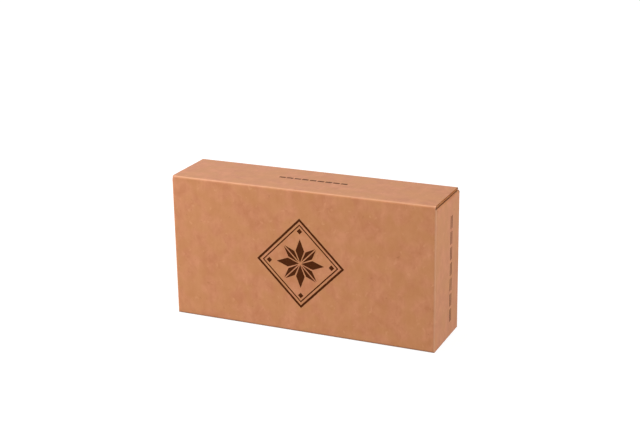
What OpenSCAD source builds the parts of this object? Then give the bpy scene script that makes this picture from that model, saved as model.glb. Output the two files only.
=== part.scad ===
// Tuck-top carton folded from one sheet of kraft micro-flute corrugated board.
// Origin: centre of the footprint, on the floor. +X is the long side, -Y the printed front, +Z up.

/* [Box] */
// Outer width of the box, along the printed front
box_w = 210; // [160:1:280]
// Outer depth, from the front panel to the back panel
box_d = 52; // [44:1:80]
// Outer height, from the floor to the top of the closed lid
box_h = 111; // [80:1:160]
// Thickness of the corrugated board
board_t = 1.8; // [1.2:0.1:2]

/* [Lid] */
// Set-back of each end of the lid from the side panel's outer face
lid_inset = 0.9; // [0.5:0.1:1.5]
// Height of the slit between the lid and the side panels' top folds
lid_slit = 0.9; // [0.8:0.1:2]
// Height of the gap between the lid and the back panel's cut edge
back_gap = 0.9; // [0.8:0.1:2]
// Width of the hinge crease that parts the lid from the front panel
crease_gap = 0.1; // [0.06:0.02:0.2]
// Distance of the hinge line outside the ridge of the front fold
hinge_proud = 0.05; // [0.03:0.01:0.1]
// Length of the tuck flap below the lid
tuck_len = 15; // [10:0.5:20]
// Radius of the tuck flap's two lower corners
tuck_corner_r = 9; // [4:0.5:10]
// Side clearance between the tuck flap and each side panel
tuck_side_gap = 1; // [0.6:0.1:2]
// Clearance between the tuck fold and the back panel
tuck_back_gap = 0.3; // [0.3:0.1:0.8]

/* [Dust flaps] */
// Length of each dust flap, from its fold to its tip
dust_len = 45; // [30:1:60]
// Cut between a dust flap's fold and the front or back panel
dust_slot = 0.6; // [0.4:0.1:1.2]
// Clearance between a dust flap's back edge and the tuck flap
dust_tuck_gap = 0.6; // [0.4:0.1:1.2]
// Clearance between a dust flap's tip and the lid above it
dust_lid_gap = 0.4; // [0.3:0.1:0.6]
// Narrowing of each dust flap's edges towards its tip
dust_taper = 5; // [2:0.5:8]
// Radius of the dust flap's two tip corners
dust_corner_r = 8; // [3:0.5:10]

/* [Glued side joint] */
// Width of the glue flap inside the back panel
glue_w = 25; // [15:1:35]
// Set-back of the back panel's cut edge from the left side's outer face
joint_step = 0.3; // [0.2:0.1:0.6]
// Cut-back of the glue flap below the top of the side panel
glue_top_cut = 11; // [10:0.5:16]
// Cut-back of the glue flap above the bottom flaps
glue_bottom_cut = 3; // [2:0.5:8]
// Slant of the glue flap's two ends
glue_taper = 5; // [2:0.5:8]

/* [Crash-lock bottom] */
// Run of the short slope that lifts each large bottom flap over the end flaps
step_run = 2.5; // [2:0.1:4]
// Clearance of a large bottom flap from each side panel
bottom_side_gap = 1; // [0.6:0.1:2]
// How far the interlocking edge swings to each side of the centre line
lock_swing = 7; // [4:0.5:10]
// Length of the slanting middle stretch of the interlocking edge
lock_slant = 24; // [12:1:40]
// Gap between the two interlocking edges
lock_gap = 0.4; // [0.2:0.1:0.8]
// Length of each end flap, glued under the large flaps
end_flap_len = 31; // [24:1:40]
// Clearance of an end flap from the slopes of the large flaps
end_flap_gap = 0.5; // [0.3:0.1:1]
// Narrowing of the end flap's free edge towards its tip
end_flap_taper = 9; // [4:1:12]
// Radius of the bottom flaps' free corners
bottom_corner_r = 4; // [2:0.5:6]
// Width of the diagonal crease on each end flap
diagonal_w = 0.8; // [0.5:0.1:1.2]
// Depth of the diagonal crease
diagonal_depth = 0.3; // [0.2:0.05:0.5]

/* [Print] */
// Thickness of the printed ink
ink_t = 0.05; // [0.03:0.01:0.1]
// Point-to-point size of the square-on-corner frame on the front
frame_size = 70; // [50:1:75]
// Height of the ornament's centre above the floor
frame_z = 54.5; // [40:0.5:60]
// Line width of the frame's outer square
frame_line = 1.6; // [1:0.1:2.4]
// Line width of the frame's inner square
inner_line = 0.9; // [0.6:0.1:1.5]
// Bare gap between the frame's two squares
frame_gap = 1.6; // [1:0.1:3]
// Tip-to-tip size of the eight-pointed star
star_size = 38; // [24:1:42]
// Bare gap between the blades of the star
star_gap = 0.9; // [0.5:0.1:1.5]
// Width of each small diamond round the star
diamond_size = 4.4; // [2:0.2:6]
// Distance of the small diamonds from the ornament's centre
diamond_ring = 25; // [22:0.5:26]
// Share of a blade's length at which the star is widest
blade_waist = 0.54; // [0.4:0.02:0.7]
// Share of its pitch that each dash fills
dash_share = 0.8; // [0.5:0.05:0.9]
// Length of the row of dashes on the lid
row_len = 56; // [30:1:80]
// Height of the lid's dashes, from front to back
row_h = 2; // [1:0.1:3]
// Number of dashes on the lid
row_count = 9; // [5:1:15]
// Length of the two dashed rules on the right side panel
rule_len = 84; // [50:1:88]
// Width of each dashed rule
rule_w = 1; // [0.6:0.1:1.6]
// Distance between the two dashed rules
rule_pitch = 2.6; // [2:0.1:4]
// Distance of the rules from the side panel's middle, towards the back
rule_y = 7.5; // [0:0.5:14]
// Number of dashes in each rule
rule_count = 7; // [4:1:12]

/* [Hidden] */
$fn = 64;

kraft = "#c7905f";
ink = "#4a2a12";
overlap = 1;
corner_steps = 8;

// Half-sizes of the outside and of the inside
half_w = box_w / 2;
half_d = box_d / 2;
inner_half_w = half_w - board_t;
inner_half_d = half_d - board_t;

// Heights of the folds and cut edges at the top
lid_under_z = box_h - board_t;
side_top_z = lid_under_z - lid_slit;
side_crease_z = side_top_z - board_t;
back_top_z = lid_under_z - back_gap;
lid_half_w = half_w - lid_inset;

// The lid turns on a line along the ridge of its rounded front fold
hinge_reach = (board_t + hinge_proud) * sin(45);
hinge_y = -inner_half_d - hinge_reach;
hinge_z = lid_under_z + hinge_reach;

// Half the crease's width, as a cut along the board's inner face and as an angle of the fold
crease_cut = crease_gap / sqrt(2);
crease_angle = asin(crease_gap / 2 / board_t);

// The tuck flap leans inward as far as its tip needs to swing clear of the back panel
tuck_crease_y = inner_half_d - tuck_back_gap - board_t;
tuck_half_w = inner_half_w - tuck_side_gap;
swing_r = inner_half_d - tuck_back_gap - hinge_y;
tip_drop = tuck_len + hinge_z - lid_under_z;
tip_y = hinge_y + sqrt(swing_r * swing_r - tip_drop * tip_drop);
tuck_lean = asin((tuck_crease_y + board_t - tip_y) / tuck_len);
tip_low_z = lid_under_z - tuck_len * cos(tuck_lean) - board_t * sin(tuck_lean);

// The dust flaps rise a little from their folds to lie under the lid
dust_rise = asin((lid_slit - dust_lid_gap) / dust_len);
dust_root_y = inner_half_d - dust_slot;
dust_back_y = tuck_crease_y - (lid_under_z - side_crease_z) * tan(tuck_lean) - dust_tuck_gap;

// End flaps of the bottom lie between the slopes of the large flaps
end_flap_half = inner_half_d - step_run - end_flap_gap;

// Points of an arc about a centre, from one angle to another
function arc(centre, r, from_angle, to_angle) =
    [for (i = [0:corner_steps])
        let (t = from_angle + (to_angle - from_angle) * i / corner_steps)
        centre + r * [cos(t), sin(t)]];

// Points of an arc that rounds corner b of the path a, b, c with radius r
function unit(v) = v / norm(v);
function round_corner(a, b, c, r) =
    let (
        to_a = unit(a - b),
        to_c = unit(c - b),
        half_angle = acos(to_a * to_c) / 2,
        middle = b + unit(to_a + to_c) * r / sin(half_angle),
        first = b + to_a * r / tan(half_angle) - middle,
        start = atan2(first.y, first.x),
        turn = cross(to_a, to_c) > 0 ? -1 : 1
    )
    arc(middle, r, start, start + (180 - 2 * half_angle) * turn);

// Carries an outline drawn in (Y, Z) along X, centred
module along_x(length) {
    rotate([90, 0, 90])
        translate([0, 0, -length / 2])
            linear_extrude(length)
                children();
}

// Carries an outline drawn in (X, Z) along Y, centred
module along_y(length) {
    rotate([90, 0, 0])
        translate([0, 0, -length / 2])
            linear_extrude(length)
                children();
}

// Plan of the walls: three rounded corner folds, and the glued joint at the back-left corner
module wall_outline() {
    difference() {
        union() {
            square([box_w - 2 * board_t, box_d], center = true);
            square([box_w, box_d - 2 * board_t], center = true);
            for (x = [-1, 1], y = [-1, 1])
                translate([x * inner_half_w, y * inner_half_d])
                    circle(r = board_t);
        }
        translate([-half_w - overlap, inner_half_d - board_t])
            square([board_t + overlap, 2 * board_t + overlap]);
    }
    intersection() {
        translate([-inner_half_w, inner_half_d - board_t])
            circle(r = board_t);
        translate([-half_w, inner_half_d - board_t])
            square(board_t);
    }
    translate([-half_w + joint_step, inner_half_d])
        square([board_t - joint_step, board_t]);
}

// Upright outline of the walls across one direction, with both bottom folds rounded
module standing_outline(half_width) {
    flat = half_width - board_t;
    translate([-half_width, board_t])
        square([2 * half_width, box_h]);
    translate([-flat, 0])
        square([2 * flat, board_t]);
    for (s = [-1, 1])
        translate([s * flat, board_t])
            circle(r = board_t);
}

// The four walls up to the side panels' top folds
module walls() {
    difference() {
        intersection() {
            linear_extrude(side_crease_z)
                wall_outline();
            along_x(box_w + overlap)
                standing_outline(half_d);
            along_y(box_d + overlap)
                standing_outline(half_w);
        }
        translate([-inner_half_w, -inner_half_d, -overlap])
            cube([2 * inner_half_w, 2 * inner_half_d, box_h]);
    }
}

// Tops of the front and back panels, which rise past the side panels' creases with their corner folds.
// The front one ends in its half of the rounded hinge fold, and the back one is a plain cut edge.
module panel_tops() {
    root_z = side_crease_z - board_t;
    intersection() {
        linear_extrude(box_h)
            wall_outline();
        union() {
            along_x(2 * lid_half_w)
                polygon(concat(
                    [[-half_d, root_z], [-inner_half_d, root_z]],
                    [[-inner_half_d, lid_under_z - crease_cut]],
                    arc([-inner_half_d, lid_under_z], board_t, 135 + crease_angle, 180)
                ));
            along_x(box_w + overlap) {
                translate([-half_d, root_z])
                    square([board_t, side_top_z - root_z]);
                translate([inner_half_d, root_z])
                    square([board_t, back_top_z - root_z]);
            }
        }
    }
}

// Right-hand dust flap: a profile folded over the side panel's top that rises towards its tip, cut to
// the flap's outline in plan
module dust_flap() {
    along = [-cos(dust_rise), sin(dust_rise)];
    across = [sin(dust_rise), cos(dust_rise)];
    tip_x = -dust_len * cos(dust_rise);
    tip_front = [tip_x, -dust_root_y + dust_taper];
    tip_back = [tip_x, dust_back_y - dust_taper];
    shoulder = [tip_x / 2, dust_back_y];
    translate([inner_half_w, 0, side_crease_z])
        intersection() {
            along_y(2 * dust_root_y)
                polygon(concat(
                    [[0, -board_t], [board_t, -board_t]],
                    arc([0, 0], board_t, 0, 90 - dust_rise),
                    [dust_len * along + board_t * across, dust_len * along, [0, 0]]
                ));
            translate([0, 0, -board_t - overlap])
                linear_extrude(box_h)
                    polygon(concat(
                        [[board_t, dust_root_y], [0, dust_root_y], [0, dust_back_y], shoulder],
                        round_corner(shoulder, tip_back, tip_front, dust_corner_r),
                        round_corner(tip_back, tip_front, [0, -dust_root_y], dust_corner_r),
                        [[0, -dust_root_y], [board_t, -dust_root_y]]
                    ));
        }
}

// Flap of the left side panel, glued inside the back panel; its root runs up the whole corner
module glue_flap() {
    root = tuck_side_gap / 2;
    low = 2 * board_t + glue_bottom_cut;
    high = side_top_z - glue_top_cut;
    translate([-inner_half_w, inner_half_d - board_t / 2, 0])
        along_y(board_t)
            polygon([
                [0, 0],
                [root, 0],
                [root, low],
                [glue_w, low + glue_taper],
                [glue_w, high - glue_taper],
                [root, high],
                [root, side_crease_z],
                [0, side_crease_z]
            ]);
}

// Large bottom flap of the front panel: a slope up from the fold, then a plate with a locking edge
module large_bottom_flap() {
    half = inner_half_w - bottom_side_gap;
    slope_end = -inner_half_d + step_run;
    near_edge = -lock_swing - lock_gap / 2;
    far_edge = lock_swing - lock_gap / 2;
    far_left = [-half, far_edge];
    far_right = [-lock_slant / 2, far_edge];
    near_left = [lock_slant / 2, near_edge];
    near_right = [half, near_edge];
    along_x(2 * half)
        polygon([
            [-inner_half_d, 0],
            [slope_end, board_t],
            [slope_end, 2 * board_t],
            [-inner_half_d, board_t]
        ]);
    translate([0, 0, board_t])
        linear_extrude(board_t)
            polygon(concat(
                [[-half, slope_end]],
                [[half, slope_end]],
                round_corner([half, slope_end], near_right, near_left, bottom_corner_r),
                [near_left, far_right],
                round_corner(far_right, far_left, [-half, slope_end], bottom_corner_r)
            ));
}

// Right-hand end flap of the bottom: one straight glued edge, one slanting free edge
module end_bottom_flap() {
    root_front = [0, -end_flap_half];
    tip_front = [-end_flap_len, -end_flap_half];
    tip_back = [-end_flap_len, end_flap_half - end_flap_taper];
    root_back = [0, end_flap_half];
    translate([inner_half_w, 0, 0])
        difference() {
            linear_extrude(board_t)
                polygon(concat(
                    [root_front, root_back],
                    round_corner(root_back, tip_back, tip_front, bottom_corner_r),
                    [tip_front]
                ));
            translate([0, -end_flap_half, 0])
                rotate([0, 0, 135])
                    translate([-box_d, -diagonal_w / 2, -diagonal_depth])
                        cube([3 * box_d, diagonal_w, 2 * diagonal_depth]);
        }
}

// The carton as one folded and glued sheet, without its lid
module carton_body() {
    color(kraft) {
        walls();
        panel_tops();
        dust_flap();
        mirror([1, 0, 0])
            dust_flap();
        glue_flap();
        for (turn = [0, 180])
            rotate([0, 0, turn]) {
                large_bottom_flap();
                end_bottom_flap();
            }
    }
}

// Profile of the lid in (Y, Z): its half of the hinge fold, the panel, the tuck fold and the leaning flap
module lid_profile() {
    hinge_crease = [-inner_half_d, lid_under_z];
    tuck_crease = [tuck_crease_y, lid_under_z];
    along = [-sin(tuck_lean), -cos(tuck_lean)];
    across = [cos(tuck_lean), -sin(tuck_lean)];
    polygon(concat(
        [hinge_crease + [crease_cut, 0]],
        arc(hinge_crease, board_t, 135 - crease_angle, 90),
        arc(tuck_crease, board_t, 90, -tuck_lean),
        [tuck_crease + tuck_len * along + board_t * across, tuck_crease + tuck_len * along, tuck_crease]
    ));
}

// Outline of the lid in (X, Z): the full panel, and the narrower tuck flap with rounded lower corners
module lid_outline() {
    translate([-lid_half_w, lid_under_z])
        square([2 * lid_half_w, 2 * board_t]);
    corners = [
        [-tuck_half_w, box_h],
        [-tuck_half_w, tip_low_z],
        [tuck_half_w, tip_low_z],
        [tuck_half_w, box_h]
    ];
    polygon(concat(
        [corners[0]],
        round_corner(corners[0], corners[1], corners[2], tuck_corner_r),
        round_corner(corners[1], corners[2], corners[3], tuck_corner_r),
        [corners[3]]
    ));
}

// The lid panel and its tuck flap, folded from the same sheet
module top_lid() {
    color(kraft)
        intersection() {
            along_x(box_w)
                lid_profile();
            along_y(2 * box_d)
                lid_outline();
        }
}

// A square standing on its corner, measured from point to point
module corner_square(size) {
    rotate(45)
        square(size / sqrt(2), center = true);
}

// A square-on-corner band of a given line width
module corner_band(size, line) {
    difference() {
        corner_square(size);
        corner_square(size - 2 * sqrt(2) * line);
    }
}

// Eight-pointed star of kite-shaped blades, every second one split down its middle
module star() {
    tip = star_size / 2;
    waist = tip * blade_waist;
    for (i = [0:7])
        rotate(45 * i)
            difference() {
                polygon([
                    [star_gap, 0],
                    waist * [cos(22.5), sin(22.5)] + [star_gap / 2, -star_gap / 2],
                    [tip, 0],
                    waist * [cos(22.5), -sin(22.5)] + [star_gap / 2, star_gap / 2]
                ]);
                if (i % 2 == 1)
                    square([2 * tip, star_gap], center = true);
            }
}

// Square-on-corner frame with a star in it and a ring of small diamonds
module front_print() {
    inner_size = frame_size - 2 * sqrt(2) * (frame_line + frame_gap);
    color(ink)
        translate([0, -half_d, frame_z])
            rotate([90, 0, 0])
                linear_extrude(ink_t) {
                    corner_band(frame_size, frame_line);
                    corner_band(inner_size, inner_line);
                    star();
                    for (i = [0:3])
                        rotate(90 * i)
                            translate([diamond_ring, 0])
                                corner_square(diamond_size);
                }
}

// A row of dashes along X, centred, with bare gaps between them
module dashes(length, height, count) {
    pitch = length / count;
    for (i = [0:count - 1])
        translate([(i - (count - 1) / 2) * pitch, 0])
            square([pitch * dash_share, height], center = true);
}

// One row of dashes in the middle of the lid
module lid_print() {
    color(ink)
        translate([0, 0, box_h])
            linear_extrude(ink_t)
                dashes(row_len, row_h, row_count);
}

// Two upright dashed rules on the right side panel
module side_print() {
    color(ink)
        translate([half_w, rule_y, side_crease_z / 2])
            rotate([90, -90, 90])
                linear_extrude(ink_t)
                    for (s = [-1, 1])
                        translate([0, s * rule_pitch / 2])
                            dashes(rule_len, rule_w, rule_count);
}

carton_body();
top_lid();
front_print();
lid_print();
side_print();
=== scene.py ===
# %% [markdown]
# # A tuck-top carton in kraft micro-flute board
# The object is a closed cardboard box, folded and glued from one flat sheet. The solids come packed
# from the CAD model, and this file dresses them: it draws the paper layers of the board, the ink and the
# light. Every length below is in millimetres until a mesh is made, and one factor turns it to metres.

# %% Open the frame
import math

import bpy
import numpy as np
from mathutils import Matrix, Vector


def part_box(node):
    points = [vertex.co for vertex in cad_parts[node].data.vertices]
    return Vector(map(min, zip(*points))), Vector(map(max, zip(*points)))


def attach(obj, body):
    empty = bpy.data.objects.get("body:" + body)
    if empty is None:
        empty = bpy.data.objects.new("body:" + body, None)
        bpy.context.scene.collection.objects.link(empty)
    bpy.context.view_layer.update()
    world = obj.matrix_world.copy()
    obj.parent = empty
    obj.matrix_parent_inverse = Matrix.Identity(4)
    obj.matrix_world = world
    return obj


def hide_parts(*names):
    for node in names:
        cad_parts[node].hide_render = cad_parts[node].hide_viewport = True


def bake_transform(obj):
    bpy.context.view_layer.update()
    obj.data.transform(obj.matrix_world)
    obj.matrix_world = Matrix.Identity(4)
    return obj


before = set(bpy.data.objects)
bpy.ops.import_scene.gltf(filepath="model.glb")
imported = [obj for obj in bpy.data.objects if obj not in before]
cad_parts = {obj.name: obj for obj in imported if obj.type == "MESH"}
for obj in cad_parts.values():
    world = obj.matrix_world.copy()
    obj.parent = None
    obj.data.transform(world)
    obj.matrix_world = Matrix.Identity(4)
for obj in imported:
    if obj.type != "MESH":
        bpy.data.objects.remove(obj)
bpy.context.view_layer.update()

MM = 0.001

# %% [markdown]
# ## The board
# Corrugated board is three papers: a flat liner on each face and a waved medium between them. On a board
# this thin the waves stand 3.2 mm apart. The waves, called flutes, run up the walls, so every edge cut
# across them shows the wave, and an edge cut along them, as at the lid's ends, shows one crushed wave. The
# sizes are the CAD model's, written again here because this file reads nothing but the frame. A plain sheet
# with a thickness would be quicker to make, but its cut edges would look like plastic, so all three papers
# are drawn.

# %% Sizes of the carton and of its board
BOX_W, BOX_D, BOX_H = 210.0, 52.0, 111.0
BOARD = 1.8
LINER = 0.28
MEDIUM = 0.2
FLUTE_PITCH = 3.2
LID_SLIT, BACK_GAP, LID_INSET = 0.9, 0.9, 0.9
JOINT_STEP, DUST_SLOT, FLAP_GAP, END_GAP = 0.3, 0.6, 1.0, 3.0
IN_W = BOX_W / 2 - BOARD
IN_D = BOX_D / 2 - BOARD
LID_Z = BOX_H - BOARD
SIDE_TOP = LID_Z - LID_SLIT
SIDE_Z = SIDE_TOP - BOARD
BACK_TOP = LID_Z - BACK_GAP
LID_W = BOX_W / 2 - LID_INSET
JOINT_X = -BOX_W / 2 + JOINT_STEP
LEFT_END = IN_D - BOARD
END_HALF = IN_D - END_GAP
DUST_ROOT = IN_D - DUST_SLOT
DUST_BACK = 20.99
GLUE_W = 25.0
FOLD_RUN = 2.5
body_low, body_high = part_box("carton_body")
print("carton height", round((body_high.z - body_low.z) / MM, 2), "board", BOARD, "flute", FLUTE_PITCH)

# %% [markdown]
# ## A path with quarter turns
# A folded sheet, cut across, is a line of straights and small arcs. One function follows such a line: it is
# given the distance walked and the depth below the outer face, and returns the point. All the paper layers
# use the same line at different depths, so they stay parallel through every fold. A Bevel modifier could
# round each layer by itself, but the layers wouldn't stay as even a distance apart.

# %% A folded line
def folded_line(start, heading, steps):
    """Table of a line that turns clockwise: for each step its first distance, point, heading and bend.
    A step is a straight length, or a turn in degrees written as ("turn", angle) with radius BOARD."""
    rows, at, angle, place = [], 0.0, math.radians(heading), np.array(start, float)
    for step in steps:
        turning = isinstance(step, tuple)
        length = math.radians(step[1]) * BOARD if turning else step
        rows.append([at, *place, angle, 1.0 if turning else 0.0])
        right = np.array([math.sin(angle), -math.cos(angle)])
        if turning:
            after = angle - math.radians(step[1])
            place = place + BOARD * right - BOARD * np.array([math.sin(after), -math.cos(after)])
            angle = after
        else:
            place = place + length * np.array([math.cos(angle), math.sin(angle)])
        at += length
    return np.array(rows)


def fold_radius(depth):
    """Radius of a fold at a depth: BOARD - depth, kept above a few hundredths of a millimetre."""
    return np.maximum(BOARD - depth, 0.03)


def follow(line, walked, depth):
    """Point of a folded line. On a straight: start + heading * walked + inward normal * depth.
    On a turn: centre - inward normal after turning * (BOARD - depth)."""
    walked, depth = np.broadcast_arrays(np.asarray(walked, float), np.asarray(depth, float))
    step = np.clip(np.searchsorted(line[:, 0], walked + 1e-9, side="right") - 1, 0, len(line) - 1)
    at, x, y, angle, bent = (line[step, k] for k in range(5))
    gone = walked - at
    turned = angle - bent * gone / BOARD
    radius = fold_radius(depth)
    straight_x = x + np.cos(angle) * gone + np.sin(angle) * depth
    straight_y = y + np.sin(angle) * gone - np.cos(angle) * depth
    arc_x = x + BOARD * np.sin(angle) - radius * np.sin(turned)
    arc_y = y - BOARD * np.cos(angle) + radius * np.cos(turned)
    return np.where(bent > 0, arc_x, straight_x), np.where(bent > 0, arc_y, straight_y)


WALLS = folded_line(
    (JOINT_X, BOX_D / 2),
    0,
    [IN_W - JOINT_X, ("turn", 90), 2 * IN_D, ("turn", 90), 2 * IN_W, ("turn", 90),
     2 * IN_D - BOARD, ("turn", 90), GLUE_W],
)
print("walls unrolled to", round(WALLS[-1, 0] + GLUE_W, 1), "mm of flat sheet")

# %% [markdown]
# ## From patches to a paper layer
# A patch is a function: given a depth it returns a grid of points, with the place of each point on the flat
# sheet. The helper below draws every patch at two depths, welds the patches where their outer faces meet,
# and closes the rim. The result is a thin solid sheet, the same way paper is a solid with two faces. The
# place on the flat sheet becomes the UV map, so paper grain and flutes follow the folds. A Solidify
# modifier could give the thickness too. It guesses each point's direction from the faces round it, which
# goes wrong where three folds meet, so here both faces are worked out.

# %% Grids
def surface(x, y, z, u, v):
    """Grid of a patch: its points from x, y and z, and their places on the flat sheet from u and v."""
    x, y, z, u, v = np.broadcast_arrays(x, y, z, u, v)
    return np.stack([x, y, z], -1), np.stack([u, v], -1)


def stations(*parts):
    """Sorted distances made of several runs, without doubles."""
    return np.unique(np.round(np.concatenate([np.atleast_1d(p) for p in parts]), 6))


def quads_of(rows, cols, first):
    """Four corners of every cell of a grid of rows by cols whose first point has number first."""
    number = first + np.arange(rows * cols).reshape(rows, cols)
    return np.stack([number[:-1, :-1], number[1:, :-1], number[1:, 1:], number[:-1, 1:]], -1).reshape(-1, 4)


print("a grid of 3 by 4 points has", len(quads_of(3, 4, 0)), "cells")

# %% Close two faces into a paper layer
def closed_sheet(patches, top, bottom):
    """Points, faces, UVs and rim flags of a sheet between two depths. Patches are welded where their
    points at depth zero agree to a tenth of a micrometre, and each open edge gets a narrow rim face."""
    outer, inner, key, sheet, quads, count = [], [], [], [], [], 0
    for patch in patches:
        up, place = patch(top)
        down = patch(bottom)[0]
        cross = np.cross(up[1:, :-1] - up[:-1, :-1], up[:-1, 1:] - up[:-1, :-1])
        cells = quads_of(*up.shape[:2], count)
        if np.sum(cross * (up - down)[:-1, :-1]) < 0:
            cells = cells[:, ::-1]
        quads.append(cells)
        count += up.shape[0] * up.shape[1]
        for store, grid in ((outer, up), (inner, down), (key, patch(0.0)[0]), (sheet, place)):
            store.append(grid.reshape(-1, grid.shape[-1]))
    outer, inner, key, sheet, quads = map(np.concatenate, (outer, inner, key, sheet, quads))
    first, weld = np.unique(np.round(key, 4), axis=0, return_index=True, return_inverse=True)[1:]
    weld = weld.reshape(-1)
    outer, inner, total = outer[first], inner[first], len(first)
    edges = np.stack([quads, np.roll(quads, -1, axis=1)], -1).reshape(-1, 2)
    code = weld[edges[:, 0]] * total + weld[edges[:, 1]]
    back = weld[edges[:, 1]] * total + weld[edges[:, 0]]
    rim = edges[~np.isin(code, back)]
    faces = weld[quads]
    sides = np.stack([weld[rim[:, 1]], weld[rim[:, 0]], weld[rim[:, 0]] + total, weld[rim[:, 1]] + total], -1)
    corners = np.concatenate([quads, quads[:, ::-1], rim[:, [1, 0, 0, 1]]])
    all_faces = np.concatenate([faces, faces[:, ::-1] + total, sides])
    is_rim = np.arange(len(all_faces)) >= 2 * len(faces)
    return np.concatenate([outer, inner]), all_faces, sheet[corners.reshape(-1)], is_rim

# %% Make a paper piece
def paper_piece(name, patches, top, bottom, finishes, sharp=35):
    """Makes the mesh object of a sheet. Its rim faces take the second of the two finishes."""
    points, faces, sheet, is_rim = closed_sheet(patches, top, bottom)
    mesh = bpy.data.meshes.new(name)
    mesh.from_pydata((points * MM).tolist(), [], faces.tolist())
    mesh.uv_layers.new(name="flat_sheet")
    mesh.uv_layers[0].data.foreach_set("uv", (sheet * MM).astype(np.float32).ravel())
    for finish in finishes:
        mesh.materials.append(finish)
    mesh.polygons.foreach_set("material_index", (is_rim * (len(finishes) - 1)).astype(np.int32))
    mesh.shade_smooth()
    mesh.set_sharp_from_angle(angle=math.radians(sharp))
    piece = bpy.data.objects.new(name, mesh)
    bpy.context.scene.collection.objects.link(piece)
    print(name, len(points), "points", 2 * len(faces), "triangles")
    return piece

# %% [markdown]
# ## Shader helpers
# Colours are written as the screen shows them, in sRGB hex, and one function turns them to the linear
# values that Blender's shaders work in. A second function adds any shader node, sets it up and links it.
# The nodes could also be joined by hand in Blender's editor, but in code one recipe serves every paper.

# %% Colours and nodes
def paint(code):
    """Linear RGBA of an sRGB hex code: c / 12.92 when dark, else ((c + 0.055) / 1.055) to the power 2.4."""
    shade = np.array([int(code[k : k + 2], 16) for k in (1, 3, 5)]) / 255
    linear = np.where(shade <= 0.04045, shade / 12.92, ((shade + 0.055) / 1.055) ** 2.4)
    return (*linear.tolist(), 1.0)


def add(tree, kind, inputs=(), **settings):
    """Adds one shader node. Settings are its own options, and inputs pairs a socket's name or number
    with a value or with another node's output."""
    made = tree.nodes.new("ShaderNode" + kind)
    for option, value in settings.items():
        setattr(made, option, value)
    for socket, value in dict(inputs).items():
        if isinstance(value, bpy.types.NodeSocket):
            tree.links.new(value, made.inputs[socket])
        else:
            made.inputs[socket].default_value = value
    return made


def new_finish(name):
    """An empty material with its output node, and the tree that it is built in."""
    material = bpy.data.materials.new(name)
    material.use_nodes = True
    material.node_tree.nodes.clear()
    return material, material.node_tree


print("hex #808080 in linear light:", round(paint("#808080")[0], 3))

# %% [markdown]
# ## Kraft liner
# Kraft liner is unbleached softwood paper, pressed on a paper machine. Seen close it is cloudy, because the
# pulp settles in soft clumps some 4 to 10 mm wide, and it holds dark bark specks and pale fibres. The
# clumps are drawn out a little along the fibres, which run up the box. The glued flutes below show through
# as faint bands 3.2 mm apart. Real fibres are about 0.03 mm wide, too fine to show, so they are drawn as
# coarse as about 0.3 mm. A picture of real paper could be wrapped on, but it repeats and goes soft close
# up. Noise at real sizes does neither.

# %% Layers of paint
# Tones of painted light: a pale highlight for lit folds, and dark shade for folds that turn under.
PAINTED_HIGHLIGHT, PAINTED_SHADE = "#dcab8d", "#6e4022"


def painted(tree, below, layers):
    """Colour after layers of paint, one over another. A layer is a value, the two levels between which it
    comes in, the most that it covers, and its colour: share = most * (value - low) / (high - low)."""
    for value, low, high, most, tone in layers:
        rise = {"Value": value, "From Min": low, "From Max": high, "To Max": most}
        share = add(tree, "MapRange", rise).outputs[0]
        below = add(tree, "Mix", {"Factor": share, 6: below, 7: paint(tone)}, data_type="RGBA").outputs[2]
    return below


def painted_light_band(tree, below, value, middle, reach, share, tone=PAINTED_HIGHLIGHT):
    """Paper with another tone painted in a band: share * (1 - distance of the value from the middle / reach),
    and not below zero. It paints pale highlights on lit folds, and dark shade where the bottom folds turn
    under."""
    off = add(tree, "Math", {0: value, 1: middle * MM}, operation="SUBTRACT").outputs[0]
    gap = add(tree, "Math", {0: off}, operation="ABSOLUTE").outputs[0]
    return painted(tree, below, [(gap, reach * MM, 0.0, share, tone)])

# %% Noises of the paper
def paper_noises(tree, spot, cloud_size):
    """Five soft noises by name, at a scale of 1 / the clumps' width. Clouds and flecks are drawn out along
    the fibres. A row gives the place, width in mm, detail, roughness and distortion."""
    drawn_out = {"Vector": spot, "Rotation": (0.4, 0.5, 0.3), "Scale": (1.0, 1.0, 0.8)}
    along = add(tree, "Mapping", drawn_out).outputs[0]
    clumps = {
        "cloud": (along, cloud_size, 3.0, 0.6, 0.3),
        "hue": (spot, cloud_size * 1.7, 1.0, 0.5, 0.0),
        "grain": (spot, 1.6, 3.0, 0.65, 0.0),
        "fleck": (along, 3.4, 1.0, 0.5, 0.5),
        "speck": (spot, 2.3, 1.0, 0.5, 0.6),
    }
    soft = {}
    for kind, (place, width, detail, rough, bend) in clumps.items():
        wanted = {"Vector": place, "Scale": 1 / (width * MM), "Detail": detail, "Roughness": rough}
        soft[kind] = add(tree, "TexNoise", {**wanted, "Distortion": bend}).outputs[0]
    return soft

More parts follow.
